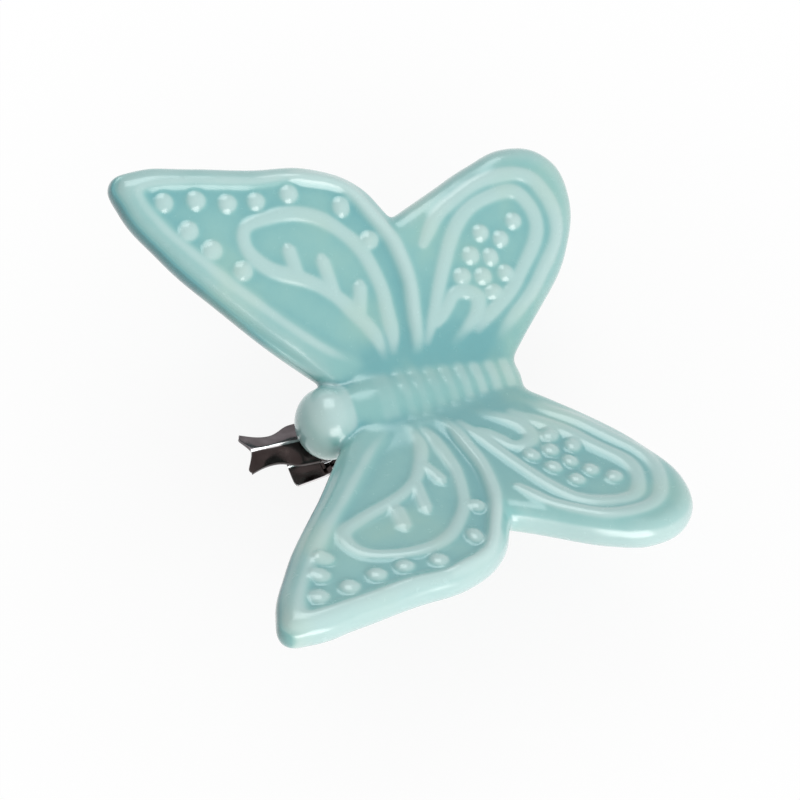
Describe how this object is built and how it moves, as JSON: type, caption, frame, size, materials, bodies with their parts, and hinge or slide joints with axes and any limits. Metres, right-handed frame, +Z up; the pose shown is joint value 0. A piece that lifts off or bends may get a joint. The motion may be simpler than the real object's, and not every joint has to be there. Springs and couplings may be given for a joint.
{
  "type": "clip-on ceramic butterfly ornament",
  "caption": "Glossy celadon-glazed ceramic butterfly with raised veins and dots, cemented to a dark sprung crocodile clip that pinches onto curtains, wreaths or plants.",
  "frame": {"origin": "on the surface that the clip stands on, under the middle of the bounding box", "axes": "+X across the wings, -Y the way the head faces, +Z up"},
  "size_m": [0.0658, 0.056, 0.0266],
  "materials": {
    "glaze": "glossy celadon glaze, paler on the raised lines and deeper in the hollows",
    "cement": "set clear epoxy, slightly yellow",
    "clip_metal": "pressed sheet steel, shiny dark gunmetal plating",
    "pin_metal": "riveted steel, dark gunmetal plating",
    "spring_wire": "bright drawn spring wire"
  },
  "bodies": {
    "ornament": {"butterfly": "glaze", "cement_bed": "cement", "clip_upper_lever": "clip_metal", "hinge_pin": "pin_metal", "torsion_spring": "spring_wire"},
    "lower_lever": {"clip_lower_lever": "clip_metal"}
  },
  "joints": [
    {"name": "clip_pinch", "type": "hinge", "parent": "ornament", "child": "lower_lever", "pos_m": [0, -0.00799, 0.00295], "axis": [-1, 0, 0], "range_deg": [0, 32], "stiffness_Nm_per_rad": 0.12, "springref_deg": -28.65, "deforming": ["torsion_spring"]}
  ]
}
